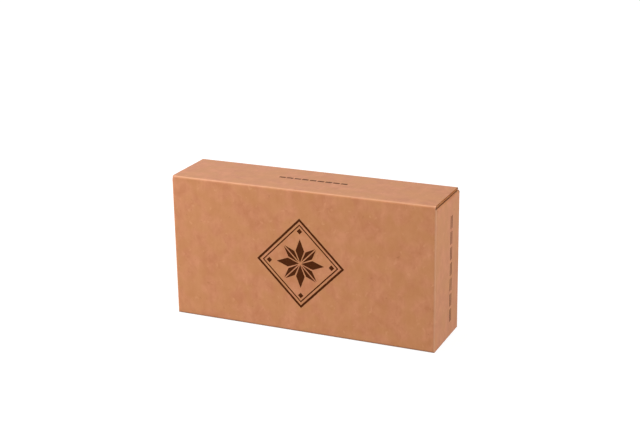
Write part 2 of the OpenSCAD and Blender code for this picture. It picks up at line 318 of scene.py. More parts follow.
# %% Kraft paper material
def kraft_paper(name, tones, cloud_size, roughness, band=0.04, fold=None, sheen=0.14):
    """Kraft paper of three tones, base, pale and dark: clouded by soft noise, with pale flecks, dark specks
    and flute bands. It has a painted pale highlight down the front right corner, painted dark shade along the
    bottom folds and, where fold is given, a painted band of highlight or shade at that place of the sheet."""
    base, pale, dark = tones
    material, tree = new_finish(name)
    spot = add(tree, "TexCoord").outputs["Object"]
    sheet = add(tree, "UVMap", uv_map="flat_sheet").outputs["UV"]
    soft = paper_noises(tree, spot, cloud_size)
    waves = {"Vector": sheet, "Scale": math.pi / (10 * FLUTE_PITCH * MM), "Distortion": 0.0}
    bands = add(tree, "TexWave", waves, bands_direction="X").outputs[1]

    clouded = painted(tree, paint(dark), [(soft["cloud"], 0.34, 0.66, 1.0, pale)])
    calm = add(tree, "Mix", {"Factor": 0.5, 6: paint(base), 7: clouded}, data_type="RGBA").outputs[2]
    banded = painted(tree, calm, [
        (soft["hue"], 0.38, 0.6, 0.6, "#b98052"),
        (soft["grain"], 0.3, 0.7, 0.04, dark),
        (soft["fleck"], 0.66, 0.78, 0.22, "#d9a27a"),
        (soft["speck"], 0.72, 0.8, 0.25, "#85502e"),
        (bands, 0.0, 1.0, band, dark),
    ])

    # Painted light: a pale highlight down the front right corner fold, and dark shade along the bottom folds.
    crest = BOARD * math.sqrt(0.5)
    corner = (IN_W + crest) * MM, -(IN_D + crest) * MM, 0.0
    past = add(tree, "VectorMath", {0: spot, 1: corner}, operation="SUBTRACT").outputs[0]
    level = add(tree, "VectorMath", {0: past, 1: (1.0, 1.0, 0.0)}, operation="MULTIPLY").outputs[0]
    away = add(tree, "VectorMath", {0: level}, operation="LENGTH").outputs["Value"]
    height = add(tree, "SeparateXYZ", {0: spot}).outputs[2]
    corner_highlit = painted_light_band(tree, banded, away, 0.0, 1.3, 0.5)
    with_painted_light = painted_light_band(tree, corner_highlit, height, 0.7, 0.9, 0.6, PAINTED_SHADE)
    # A band of painted light at one place of the sheet: a highlight on the hinge fold, or shade under the
    # outer liner at the lid's ends.
    if fold:
        with_painted_light = painted_light_band(tree, with_painted_light, add(tree, "SeparateXYZ", {0: sheet}).outputs[1], *fold)

    fine = add(tree, "Bump", {"Height": soft["grain"], "Strength": 0.12, "Distance": 0.03 * MM})
    ridges = {"Height": bands, "Strength": 1.0, "Distance": 0.008 * MM, "Normal": fine.outputs[0]}
    flute = add(tree, "Bump", ridges)
    dull = {"Value": soft["cloud"], "To Min": roughness - 0.06, "To Max": roughness + 0.06}
    uneven = add(tree, "MapRange", dull).outputs[0]
    skin = add(tree, "BsdfPrincipled", {"Base Color": with_painted_light, "Roughness": uneven, "IOR": 1.5,
                                        "Normal": flute.outputs[0], "Specular IOR Level": sheen})
    add(tree, "OutputMaterial", {"Surface": skin.outputs[0]})
    return material

# %% [markdown]
# ## Six papers from one recipe
# The outer liner is the smoothest, and where the hinge fold bends it is burnished, with a pale highlight
# painted along it.
# The inner liner is duller, and its flutes show more. Cut edges are raw and matt. The medium is made of
# recycled fibre, so it is darker, and on the crushed wave at the lid's ends the outer liner's shade is
# painted dark. They could be built one by one, but all are kraft, so one recipe takes other tones and sizes.

# %% Paper finishes
LINER_TONES = "#be7d59", "#ca8e69", "#ad6f4b"
INSIDE_TONES = "#b37b53", "#bf8a61", "#9e6b46"
CUT_TONES = "#ad6f49", "#b97c55", "#8e5533"
FLUTE_TONES = "#925632", "#a0653e", "#784422"
CRUSHED_TONES = "#a4613a", "#ae6e45", "#844827"
RAW = {"band": 0.0, "sheen": 0.05}
kraft_outside = kraft_paper("kraft_liner_outside", LINER_TONES, 8.0, 0.52)
# A pale highlight is painted along the hinge fold.
kraft_fold = kraft_paper("kraft_at_fold_painted_highlight", LINER_TONES, 8.0, 0.4, fold=(LID_Z + 1.6, 0.8, 0.55))
kraft_inside = kraft_paper("kraft_liner_inside", INSIDE_TONES, 9.0, 0.72, band=0.1)
cut_edge = kraft_paper("cut_paper_edge", CUT_TONES, 3.0, 0.85, **RAW)
fluting = kraft_paper("fluting_medium", FLUTE_TONES, 4.0, 0.85, **RAW)
# The outer liner's shade is painted dark on the crushed ends.
painted_liner_shade = (0.4, 0.6, 0.9, "#5a2e16")
crushed_end = kraft_paper("crushed_flute_ends", CRUSHED_TONES, 3.0, 0.85, fold=painted_liner_shade, **RAW)
papers = kraft_outside, kraft_fold, kraft_inside, cut_edge, fluting, crushed_end
print("paper finishes:", [paper.name for paper in papers])

# %% [markdown]
# ## Where the sheet is not quite flat
# A glued box is never perfectly flat: each panel draws in by a fifth of a millimetre or so between its
# folds. The panels take this small hollow inwards, so nothing leaves the CAD box, and the ink uses the same
# function to lie on the paper. Cloth simulation could give it too, but a sine each way is quick, and it is
# exactly zero at the folds, where it has to be.

# %% Hollow of the panels
WIDE_HOLLOW, SIDE_HOLLOW, LID_SAG = 0.22, 0.1, 0.15


def hollow(along, length, z, low, high, depth):
    """Depth times sine of the way along times sine of the way up, with a slight lean to one side."""
    way = np.clip(along / length, 0, 1)
    up = np.clip((z - low) / (high - low), 0, 1)
    return depth * np.sin(math.pi * way) * np.sin(math.pi * up) * (1 + 0.35 * np.cos(math.pi * way + 0.7))


def wall_hollow(walked, z):
    """Hollow of the four walls by distance along the unrolled walls, deeper at the front and back."""
    total = np.zeros(np.broadcast(walked, z).shape)
    panels = ((0, IN_W - JOINT_X, WIDE_HOLLOW), (2, 2 * IN_D, SIDE_HOLLOW), (4, 2 * IN_W, WIDE_HOLLOW),
              (6, LEFT_END + IN_D, SIDE_HOLLOW))
    for row, length, depth in panels:
        total = total + hollow(walked - WALLS[row, 0], length, z, BOARD, SIDE_Z, depth)
    return total


print("front panel's hollow", round(float(wall_hollow(WALLS[4, 0] + IN_W, SIDE_Z / 2)), 3), "mm")

# %% [markdown]
# ## Walls
# The four walls are one strip that runs round the box: back, right side, front, left side, and a glue flap
# that ends inside the back panel. The strip is one grid, distance along the sheet by height. Its lower edge
# follows the rounded bottom folds, so the corners close without a gap. Four separate panels would be
# simpler, but they would show seams at the corners, where real board runs through.

# %% Walls as one strip
TURN = np.radians([0, 10, 20, 30, 38, 45, 52, 60, 70, 80, 90])
BACK_X = stations(JOINT_X, -LID_W, np.linspace(-IN_W, IN_W, 60))
SIDE_Y = stations(-IN_D, -DUST_ROOT, np.linspace(-END_HALF, DUST_BACK, 14), END_HALF, LEFT_END,
                  DUST_ROOT, IN_D)
LEFT_Y = SIDE_Y[SIDE_Y <= LEFT_END + 0.001]
FRONT_X = np.linspace(-IN_W, IN_W, 61)
HEIGHTS = np.linspace(0, 1, 34)


def corner_low(swept, radius, lone):
    """Lower end of a vertical fold: BOARD - radius * the smaller of sine and cosine of the angle swept.
    At the glued corner there is only one bottom fold, so it is BOARD - radius * sine."""
    reach = np.sin(swept) if lone else np.minimum(np.sin(swept), np.cos(swept))
    return BOARD - radius * reach


def wall_strip(depth):
    """Points of the walls: follow the unrolled line, and spread the rows from the lower edge up."""
    columns, low = [], []
    spans = (BACK_X - JOINT_X, None, IN_D - SIDE_Y[::-1], None, IN_W - FRONT_X[::-1], None,
             LEFT_Y + IN_D, None)
    for row, span in enumerate(spans):
        if span is None:
            columns.append(WALLS[row, 0] + BOARD * TURN[1:-1])
            low.append(corner_low(TURN[1:-1], fold_radius(depth), row == 7))
        else:
            columns.append(WALLS[row, 0] + span)
            low.append(np.full(len(span), BOARD))
    walked, low = np.concatenate(columns)[None, :], np.concatenate(low)[None, :]
    z = low + HEIGHTS[:, None] * (SIDE_Z - low)
    x, y = follow(WALLS, walked, depth + wall_hollow(walked, z))
    return surface(x, y, z, walked, z)

# %% Raised tops of the walls
SKIN_LEAD = 0.3
BACK_DIP, DIP_RUN = 1.4, 3.0


def dipped(top, left, dip):
    """Height of a cut edge that slants down near its end: top - dip * (1 - length left / DIP_RUN)."""
    return top - dip * np.clip(1 - left / DIP_RUN, 0, 1)


def raised_top(first, last, low, top, dip=0.0):
    """Part of a wall above the side panels' folds: two distances along the sheet, and two heights."""
    def patch(depth):
        walked = wall_strip(0.0)[1][0, :, 0]
        walked = walked[(walked >= first - 1e-6) & (walked <= last + 1e-6)]
        walked, up = np.meshgrid(walked, np.linspace(0, 1, 4))
        z = low + up * (dipped(top, last - walked, dip) - low)
        x, y = follow(WALLS, walked, depth)
        return surface(x, y, z, walked, z)
    return patch


back_top = raised_top(0, WALLS[2, 0], SIDE_Z, BACK_TOP, dip=BACK_DIP)
front_corners = raised_top(WALLS[3, 0], WALLS[6, 0], SIDE_Z, SIDE_TOP)
lid_ends = WALLS[3, 0] + BOARD * TURN[7], WALLS[5, 0] + BOARD * TURN[3]
front_top = raised_top(*lid_ends, SIDE_TOP, LID_Z - SKIN_LEAD)
print("raised tops", back_top(0.0)[0].shape, front_top(0.0)[0].shape)

# %% Glue flap
GLUE_TOP_CUT, GLUE_FOOT_CUT, GLUE_TAPER, GLUE_FILM = 11, 3, 5, 0.02


def glue_flap(depth):
    """Glue flap inside the back panel, a film of glue away: height runs between two slanting ends."""
    reach, up = np.meshgrid(np.linspace(0, GLUE_W, 12), np.linspace(0, 1, 20))
    low = 2 * BOARD + GLUE_FOOT_CUT + GLUE_TAPER * reach / GLUE_W
    high = SIDE_TOP - GLUE_TOP_CUT - GLUE_TAPER * reach / GLUE_W
    z = low + up * (high - low)
    walked = WALLS[8, 0] + reach
    x, y = follow(WALLS, walked, depth + GLUE_FILM)
    return surface(x, y, z, walked, z)


print("wall strip grid", wall_strip(0.0)[0].shape, "glue flap grid", glue_flap(0.0)[0].shape)

# %% [markdown]
# ## Dust flaps
# Each side panel folds over at the top into a dust flap that slips under the lid. Seen from the side the
# flap and its fold are again one folded line. Seen from above the flap narrows and has rounded corners, so
# each row of the grid runs between a front and a back edge that depend on the distance from the fold. A
# flat cut-out could be bent with a modifier, but following the line keeps the liner's length and its grain.

# %% Outlines with rounded corners
def rounded(outline, radii):
    """Points of an open outline whose inner corners are rounded: each corner becomes an arc tangent to
    its two sides, centred on their bisector at radius / sine of the half angle."""
    made = [outline[0]]
    for before, corner, after, radius in zip(outline, outline[1:], outline[2:], radii):
        before, corner, after = (np.array(p, float) for p in (before, corner, after))
        one, two = ((p - corner) / np.linalg.norm(p - corner) for p in (before, after))
        half = math.acos(np.clip(one @ two, -1, 1)) / 2
        if radius == 0:
            made.append(corner)
            continue
        centre = corner + (one + two) / np.linalg.norm(one + two) * radius / math.sin(half)
        start, end = (corner + d * radius / math.tan(half) - centre for d in (one, two))
        sweep = np.linspace(0, 1, 15)[:, None]
        turn = math.pi - 2 * half
        arc = (np.sin((1 - sweep) * turn) * start + np.sin(sweep * turn) * end) / math.sin(turn)
        made.extend(centre + arc)
    made.append(outline[-1])
    return np.array(made, float)


print("a corner becomes an arc of", len(rounded([(0, 0), (9, 0), (9, 9)], [3])) - 2, "points")

# %% Lines of the dust flaps
DUST_LEN, DUST_TAPER, DUST_R, DUST_LIFT = 45.0, 5, 8, 0.5
DUST_RISE = math.degrees(math.asin(DUST_LIFT / DUST_LEN))
dust_front = rounded([(0, -DUST_ROOT), (DUST_LEN, -DUST_ROOT + DUST_TAPER), (DUST_LEN, 0)], [DUST_R])
dust_back = rounded([(0, DUST_BACK), (DUST_LEN / 2, DUST_BACK), (DUST_LEN, DUST_BACK - DUST_TAPER),
                     (DUST_LEN, 0)], [0, DUST_R])
near_fold = [0.3, 0.6, 1.0, 1.5, 2.0, 2.6, 3.3, 4.0]
near_tip = DUST_LEN - 10 * np.cos(np.linspace(0, math.pi / 2, 14))
DUST_ROWS = stations(near_fold, np.linspace(0, DUST_LEN - 10, 8), near_tip)
DUST_COLS = SIDE_Y[(SIDE_Y >= -DUST_ROOT - 0.001) & (SIDE_Y <= DUST_BACK + 0.001)]
rise_cos, rise_sin = math.cos(math.radians(DUST_RISE)), math.sin(math.radians(DUST_RISE))
dust_tip = (IN_W - DUST_LEN * rise_cos + BOARD * rise_sin, SIDE_Z + DUST_LEN * rise_sin + BOARD * rise_cos)
DUST_LINE = folded_line(dust_tip, -DUST_RISE, [DUST_LEN, ("turn", 90 - DUST_RISE), 20.0])
print("dust flap rises", round(DUST_RISE, 2), "degrees to its tip")

# %% Dust flaps
CREASE_DEPTH = 1.1


def creased(reach, depth):
    """Depth with the crushed crease behind the fold's crest, felt less by deeper layers: it sinks over a
    millimetre, as a cosine, from 0.8 mm before the flat, and comes back from 0.4 to 4 mm behind the fold."""
    sink = 0.5 - 0.5 * np.cos(math.pi * np.clip((reach + 0.8) / 1.0, 0, 1))
    back = 0.5 + 0.5 * np.cos(math.pi * np.clip((reach - 0.4) / 3.6, 0, 1))
    return depth + CREASE_DEPTH * (1 - depth / BOARD) * sink * back


def side_of(side, y):
    """Distance along the unrolled walls of a point on the right (1) or left (-1) side panel."""
    return WALLS[2, 0] + IN_D - y if side > 0 else WALLS[6, 0] + y + IN_D


def dust_flap(side):
    """Two patches of one dust flap, at the right for side 1 and at the left for side -1."""
    last_y = DUST_ROOT if side > 0 else LEFT_END
    fold_y = SIDE_Y[(SIDE_Y >= -DUST_ROOT - 0.001) & (SIDE_Y <= last_y + 0.001)]
    fold_end = SIDE_Z + DUST_LINE[2, 0]

    def bent(depth):
        turns = stations(TURN, np.radians([4, 8, 13, 16, 23, 26]))
        bend = DUST_LINE[1, 0] + BOARD * turns * (90 - DUST_RISE) / 90
        walked, y = np.meshgrid(bend, fold_y, indexing="ij")
        x, z = follow(DUST_LINE, walked, creased(DUST_LINE[1, 0] - walked, depth))
        return surface(side * x, y, z, side_of(side, y), fold_end - walked)

    def flat(depth):
        reach = DUST_ROWS[:, None]
        front = np.interp(reach, dust_front[:, 0], dust_front[:, 1])
        back = np.interp(reach, dust_back[:, 0], dust_back[:, 1])
        share = (DUST_COLS + DUST_ROOT) / (DUST_BACK + DUST_ROOT)
        y = front + share[None, :] * (back - front)
        walked = DUST_LINE[1, 0] - reach
        x, z = follow(DUST_LINE, walked, creased(reach, depth))
        return surface(side * x, y, z, side_of(side, y), fold_end - walked)

    return [bent, flat]


print("dust flap grids", [part(0.0)[0].shape for part in dust_flap(1)])

# %% [markdown]
# ## Bottom folds
# Below, every wall turns inwards by a quarter turn. The strips grow slightly wider at the middle of the
# turn and meet the vertical folds on a curve, the way three rounded edges meet in one corner. A bevelled
# box has such corners from the start, but its points wouldn't meet those of the walls.

# %% Bottom folds
SHEET_SHIFT = 300


def bottom_fold(axis, side):
    """Quarter turn under one wall. axis 0 folds a side panel (it runs along Y), axis 1 folds the front
    (side -1) or back panel, and lies SHEET_SHIFT further on the flat sheet, clear of the side folds. Its
    ends reach radius * the smaller of sine and cosine past the corner."""
    def patch(depth):
        swept = TURN[:, None]
        radius = fold_radius(depth)
        reach = radius * np.minimum(np.sin(swept), np.cos(swept))
        if axis == 0:
            columns = SIDE_Y if side > 0 else LEFT_Y
            first, last = -IN_D, columns[-1]
            low = first - reach
            high = last + (reach if side > 0 else radius * np.sin(swept))
        else:
            columns = BACK_X if side > 0 else FRONT_X
            first, last = columns[0], columns[-1]
            end = np.minimum(-IN_W - JOINT_X, radius * np.cos(swept)) + IN_W + JOINT_X
            low = first - (end if side > 0 else reach)
            high = last + reach
        share = (columns[None, :] - first) / (last - first)
        along = low + share * (high - low)
        out = side * ((IN_W if axis == 0 else IN_D) + radius * np.cos(swept))
        z = BOARD - radius * np.sin(swept)
        if axis == 0:
            return surface(out, along, z, along, -BOARD * swept)
        return surface(along, out, z, along + SHEET_SHIFT, -BOARD * swept)
    return patch


bottom_folds = [bottom_fold(axis, side) for axis in (0, 1) for side in (-1, 1)]
print("bottom fold grids", [fold(0.0)[0].shape for fold in bottom_folds])

# %% [markdown]
# ## Bottom flaps
# The bottom is a glued lock: two large flaps hook into each other on the centre line, and each carries a
# small end flap glued under it with a diagonal crease. The large flaps climb over the end flaps in a short
# slope. Every flap is a grid whose rows or columns stop at its own outline. A plate could be cut out with a
# Boolean modifier, but that leaves long thin faces, which shade badly.

# %% Outlines of the bottom flaps
STEP_RUN, LOCK_NEAR, LOCK_FAR, LOCK_SLANT = 2.5, -7.2, 6.8, 12
END_LEN, END_TAPER, CORNER_R = 31, 9, 4
LOCK_W, SLOPE_Y = IN_W - FLAP_GAP, -IN_D + STEP_RUN
lock_corners = [(-LOCK_W, SLOPE_Y), (-LOCK_W, LOCK_FAR), (-LOCK_SLANT, LOCK_FAR), (LOCK_SLANT, LOCK_NEAR),
                (LOCK_W, LOCK_NEAR), (LOCK_W, SLOPE_Y)]
LOCK_EDGE = rounded(lock_corners, [CORNER_R, 0, 0, CORNER_R])
corner_run = LOCK_W - CORNER_R + CORNER_R * np.sin(np.linspace(0, math.pi / 2, 9))
LOCK_X = stations(np.linspace(CORNER_R - LOCK_W, LOCK_W - CORNER_R, 72), -LOCK_SLANT, LOCK_SLANT,
                  -corner_run, corner_run)
LOCK_Y = np.linspace(0, 1, 26)
END_ROWS = np.linspace(0, END_LEN, 63)
END_COLS = np.linspace(0, 1, 80)
end_free = rounded([(0, END_HALF), (END_LEN, END_HALF - END_TAPER), (END_LEN, -END_HALF)], [CORNER_R])


def lock_edge(x):
    """Distance of the locking edge from the centre line at a distance along the box."""
    order = np.argsort(LOCK_EDGE[1:-1, 0])
    return np.interp(x, LOCK_EDGE[1:-1, 0][order], LOCK_EDGE[1:-1, 1][order])


print("locking edge beside the slant:", lock_edge(-LOCK_W / 2), "and", lock_edge(LOCK_W / 2), "mm")

# %% Bottom flaps
def large_flap(turned):
    """Large flap of the front panel, or of the back panel when turned is -1. Rows run from the fold to
    the locking edge, and the slope rises one board with soft ends: way - 0.09 * sine of 2 pi * way."""
    def patch(depth):
        x = LOCK_X[None, :]
        bend = stations(np.linspace(0, STEP_RUN, 11)) / STEP_RUN
        slope = -IN_D + STEP_RUN * bend[:, None] + 0 * x
        plate = -IN_D + STEP_RUN + LOCK_Y[1:, None] * (lock_edge(x) + IN_D - STEP_RUN)
        y = np.concatenate([slope, plate])
        rise = np.clip((y + IN_D) / STEP_RUN, 0, 1)
        z = BOARD * (rise - 0.09 * np.sin(2 * math.pi * rise)) + depth
        return surface(turned * x, turned * y, z, SHEET_SHIFT + turned * x, -FOLD_RUN - IN_D - y)
    return patch


def end_flap(side):
    """End flap of the right (1) or left (-1) side panel. A diagonal crease is pressed 0.3 mm into it:
    depth * exp(-(distance from the diagonal / 0.5) squared)."""
    def patch(depth):
        reach = END_ROWS[:, None]
        high = np.interp(reach, end_free[:, 0], end_free[:, 1])
        y = -END_HALF + END_COLS[None, :] * (high + END_HALF)
        off = (reach - (y + END_HALF)) / math.sqrt(2)
        press = 0.3 * np.exp(-((off / 0.5) ** 2))
        z = depth + press * (1 - depth / BOARD)
        return surface(side * (IN_W - reach), side * y, z, y, -FOLD_RUN - reach)
    return patch


bottom_flaps = [large_flap(turned) for turned in (1, -1)] + [end_flap(side) for side in (1, -1)]
print("bottom flap grids", [flap(0.0)[0].shape for flap in bottom_flaps])

# %% [markdown]
# ## The carton's two liners
# With all patches drawn once, the outer liner is the sheet between depth 0 and 0.28 mm, and the inner liner
# is the one between 1.52 and 1.8 mm. Both ride on the carton's body, and the outer one stands for the CAD
# solid of the carton. Two thin sheets take more faces than one thick one, but only they leave the dark
# hollows between them that a cut edge shows.

# %% Outer and inner liner of the carton
OUTER, INNER = (0.0, LINER), (BOARD - LINER, BOARD)
outside, inside = [kraft_outside, cut_edge], [kraft_inside, cut_edge]
carton_patches = [wall_strip, back_top, front_corners, front_top, glue_flap, *dust_flap(1), *dust_flap(-1),
                  *bottom_folds, *bottom_flaps]
carton_outer = paper_piece("carton_outer_liner", carton_patches, *OUTER, outside)
carton_inner = paper_piece("carton_inner_liner", carton_patches, *INNER, inside)
for piece in (carton_outer, carton_inner):
    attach(piece, "carton")
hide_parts("carton_body")

# %% [markdown]
# ## The lid
# The lid is the front panel's continuation: a flat panel, a fold a little past a right angle, and a tuck
# flap with two round corners. It is drawn in two patches, because the tuck flap is narrower than the lid.
# One grid would have to jump where the lid's edge steps in.

# %% Lid and tuck flap
TUCK_LEN, TUCK_W, TUCK_R = 15.0, IN_W - FLAP_GAP, 9.0
TUCK_BACK_GAP, TUCK_LEAN = 0.3, 10.638
TUCK_Y = IN_D - TUCK_BACK_GAP - BOARD
LID_LINE = folded_line((-IN_D, BOX_H), 0, [TUCK_Y + IN_D, ("turn", 90 + TUCK_LEAN), TUCK_LEN])
LID_X = stations(-LID_W, np.linspace(-TUCK_W, TUCK_W, 70), LID_W)
LID_SHEET = WALLS[4, 0] + IN_W


def lid_points(walked, x, depth):
    """Point of the lid at a distance from the hinge fold, sagging by up to LID_SAG in its middle."""
    sag = hollow(walked, TUCK_Y + IN_D, x, -LID_W, LID_W, LID_SAG)
    y, z = follow(LID_LINE, walked, depth + sag)
    return surface(x, y, z, LID_SHEET - x, LID_Z + FOLD_RUN + walked)


def lid_panel(first):
    """Flat panel from a first distance to the fold, and the first right angle of the fold."""
    def patch(depth):
        bend = LID_LINE[1, 0] + BOARD * TURN
        rows = stations(np.linspace(first, LID_LINE[1, 0], 20), bend)
        return lid_points(rows[:, None], LID_X[None, :], depth)
    return patch


def tuck_flap(depth):
    """Rest of the fold and the tuck flap: half width TUCK_W, then TUCK_W - R + root(R^2 - (s - s0)^2)."""
    bend = LID_LINE[1, 0] + BOARD * np.linspace(math.pi / 2, math.radians(90 + TUCK_LEAN), 3)
    end = LID_LINE[2, 0] + TUCK_LEN - TUCK_R * (1 - np.sin(np.linspace(0, math.pi / 2, 14)))
    walked = stations(bend, np.linspace(LID_LINE[2, 0], end[0], 4), end)[:, None]
    past = np.clip((walked - end[0]) / TUCK_R, 0, 1)
    half = TUCK_W - TUCK_R + TUCK_R * np.sqrt(1 - past**2)
    x = half * LID_X[None, 1:-1] / TUCK_W
    return lid_points(walked, x, depth)


CREASE_START = 0.08
lid_outer = paper_piece("lid_outer_liner", [lid_panel(SKIN_LEAD), tuck_flap], *OUTER, outside)
lid_inner = paper_piece("lid_inner_liner", [lid_panel(CREASE_START), tuck_flap], *INNER, inside)
for piece in (lid_outer, lid_inner):
    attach(piece, "lid")
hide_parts("top_lid")

# %% [markdown]
# ## The hinge fold
# The front panel and the lid are one sheet, so the fold between them bends as the lid opens. A narrow strip
# of liner covers the fold, from the front panel up to the lid. A second strip covers the crease inside.

# %% Liner over the hinge fold
HINGE_LINE = folded_line((-BOX_D / 2, LID_Z - SKIN_LEAD), 90, [SKIN_LEAD, ("turn", 90), SKIN_LEAD])


def hinge_skin(depth):
    """Strip over the fold. Its ends keep the front corners' rounding, which dies away up the turn."""
    bend = HINGE_LINE[1, 0] + BOARD * np.linspace(0, math.pi / 2, 17)
    walked, x = np.meshgrid(stations(0, SKIN_LEAD / 2, bend, bend[-1] + SKIN_LEAD), LID_X, indexing="ij")
    y, z = follow(HINGE_LINE, walked, depth)
    past = np.clip((np.abs(x) - IN_W) / BOARD, 0, 1)
    level = np.clip((z - LID_Z) / BOARD, 0, 1)
    y = y + (BOARD - depth) * (1 - np.sqrt(1 - past**2)) * (1 - level)
    return surface(x, y, z, LID_SHEET - x, LID_Z - SKIN_LEAD + walked)


def crease_skin(depth):
    """Strip inside the crease: up the front panel's inner face, across the crease and along the lid."""
    across = np.linspace(0, 1, 19)
    y = np.concatenate([[0.0, 0.0], 0.075 * across, [0.5, 1.0]]) - IN_D + depth
    z = np.concatenate([[-1.0, -0.5], -0.075 + 0.075 * across, [0.0, 0.0]]) + LID_Z - depth
    x = np.linspace(-IN_W, IN_W, 12)[None, :]
    walked = np.arange(len(y))[:, None] * 0.1
    return surface(x, y[:, None], z[:, None], LID_SHEET - x, LID_Z + walked)


fold_skin = paper_piece("hinge_fold_liner", [hinge_skin], 0.0, LINER, [kraft_fold, cut_edge])
inner_crease = paper_piece("hinge_crease_liner", [crease_skin], 0.03, -0.05, inside)
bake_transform(fold_skin)
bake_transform(inner_crease)

# %% [markdown]
# ## The waved medium
# Between the liners runs the medium, a thin sheet waved like a sine. It shows only at the board's cut
# edges, but it is drawn through the walls and flaps as in the real board. Its columns are dense across the
# waves, 12 to a wave, and it needs few rows along them, because a flute is straight. A bump in a material
# could suggest the waves, but a cut edge is seen from its side, where only a real shape shows.

# %% A waved patch
WAVE = (BOARD - 2 * LINER - MEDIUM) / 2
RECESS = 0.35


def wave(place, offset):
    """Depth of the medium: the middle of the board + WAVE * sine of 2 pi * place / pitch + offset."""
    return BOARD / 2 + offset + WAVE * np.sin(2 * math.pi * (place - LID_SHEET - LID_W + 0.55) / FLUTE_PITCH)


def waved(points_of, place_of, first, last, recess=RECESS):
    """A patch whose columns cross the waves and stop a little inside the liners' edges, at the recess.
    points_of(column, share, depth) gives the points."""
    columns = np.linspace(first + recess, last - recess, int((last - first) / FLUTE_PITCH * 12))[None, :]

    def patch(offset):
        depth = wave(place_of(columns), offset)
        return points_of(columns, np.linspace(0, 1, 4)[:, None], depth)
    return patch


print("the medium sways", round(WAVE, 2), "mm to each side of the board's middle")

# %% Medium of the carton
def wall_medium(first, last, low, high):
    """Medium between two distances along the walls and two heights."""
    def points_of(walked, share, depth):
        z = low + share * (high - low)
        x, y = follow(WALLS, walked, depth + wall_hollow(walked, z))
        return surface(x, y, z, walked, z)
    return waved(points_of, lambda walked: walked, first, last)


def dust_medium(side):
    """Medium of a dust flap: each column runs from the fold to the flap's outline at that place."""
    tip = np.concatenate([dust_front, dust_back[::-1]])

    def points_of(y, share, depth):
        reach = share * (np.interp(y, tip[:, 1], tip[:, 0]) - RECESS)
        x, z = follow(DUST_LINE, DUST_LINE[1, 0] - reach, creased(reach, depth))
        return surface(side * x, y, z, side_of(side, y), SIDE_Z + reach)
    return waved(points_of, lambda y: side_of(side, y), -DUST_ROOT + 0.4, DUST_BACK - 0.3)


def lock_medium(turned):
    """Medium of a large bottom flap's plate, from the slope to the locking edge."""
    def points_of(x, share, depth):
        y = SLOPE_Y + share * (lock_edge(x) - SLOPE_Y - RECESS)
        return surface(turned * x, turned * y, BOARD + depth, x, y)
    return waved(points_of, lambda x: x, 0.7 - LOCK_W, LOCK_W - 0.7)


carton_medium = paper_piece(
    "carton_waved_medium",
    [wall_medium(0, WALLS[8, 0], BOARD, SIDE_Z), wall_medium(0, WALLS[1, 0], SIDE_Z, BACK_TOP - 0.1),
     wall_medium(WALLS[4, 0], WALLS[5, 0], SIDE_Z, LID_Z - 0.4), dust_medium(1), dust_medium(-1),
     lock_medium(1), lock_medium(-1)],
    -MEDIUM / 2, MEDIUM / 2, [fluting], sharp=60)
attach(carton_medium, "carton")

# %% Medium of the lid
def lid_medium_points(x, share, depth):
    """Medium of the lid panel from the hinge to the tuck fold."""
    walked = 0.5 + share * (LID_LINE[1, 0] - 0.5)
    return lid_points(walked, x, depth)


def tuck_medium_points(x, share, depth):
    """Medium of the tuck flap: each column stops at the rounded outline."""
    past = np.clip((np.abs(x) - TUCK_W + TUCK_R) / TUCK_R, 0, 1)
    end = TUCK_LEN - TUCK_R * (1 - np.sqrt(1 - past**2)) - RECESS
    walked = LID_LINE[2, 0] + share * end
    return lid_points(walked, x, depth)


lid_medium = paper_piece(
    "lid_waved_medium",
    [waved(lid_medium_points, lambda x: LID_SHEET - x, -LID_W, LID_W, 0.25),
     waved(tuck_medium_points, lambda x: LID_SHEET - x, -TUCK_W, TUCK_W, 0.25)],
    -MEDIUM / 2, MEDIUM / 2, [fluting], sharp=60)
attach(lid_medium, "lid")

# %% [markdown]
# ## Crushed board
# Where the board is creased or cut along a flute, its waves are crushed into a solid core. Two wedges, each
# an eighth of a round bar, fill the hinge fold: one stays on the carton and one goes with the lid. Short
# quarter rounds fill the tops of the three corner folds, and a thin strip closes each end of the lid.
# Without them the folds would be hollow, and light would fall through their ends.

# %% Crushed cores
CORE = (LINER + 0.02, BOARD - 0.1)
CORE_DROP = 0.08


def hinge_core(first, last):
    """Wedge inside the hinge fold between two angles swept, a sheet from below the liner to the crease."""
    def patch(depth):
        across = np.linspace(-LID_W + 0.5, LID_W - 0.5, 9)
        swept, x = np.meshgrid(np.radians(np.linspace(first, last, 7)), across, indexing="ij")
        y, z = follow(HINGE_LINE, HINGE_LINE[1, 0] + BOARD * swept, depth)
        return surface(x, y, z, LID_SHEET - x, LID_Z + BOARD * swept)
    return patch


def corner_core(row, dip=0.0):
    """Quarter round in the top of a corner fold. It stays CORE_DROP below the liners' edges and dips with
    them."""
    def patch(depth):
        gone, up = np.meshgrid(BOARD * np.linspace(0, math.pi / 2, 9), np.linspace(0, 1, 3))
        last = WALLS[row + 1, 0] - WALLS[row, 0]
        cut = dipped(SIDE_TOP - CORE_DROP, last - gone, dip)
        z = SIDE_Z - 1 + up * (cut - SIDE_Z + 1)
        x, y = follow(WALLS, WALLS[row, 0] + gone, depth)
        return surface(x, y, z, WALLS[row, 0] + gone, z)
    return patch


def end_strip(side):
    """Cut edge of the medium at one end of the lid: it stands between the liners, 0.15 mm behind their
    edges, and wanders by 0.05 mm * (sine of 2 pi y / 2.1 + sine of 2 pi y / 0.83). Its finish has the outer
    liner's shade painted dark under that liner, so its second UV is the depth."""
    def patch(offset):
        between = np.linspace(LINER, BOARD - LINER, 4)
        across, walked = np.meshgrid(between, np.linspace(SKIN_LEAD, LID_LINE[1, 0], 200))
        ragged = np.sin(2 * math.pi * walked / 2.1) + np.sin(2 * math.pi * walked / 0.83)
        x = side * (LID_W - 0.15 - 0.05 * ragged + offset)
        return lid_points(walked, x, across)[0], np.stack([walked, across], -1)
    return patch


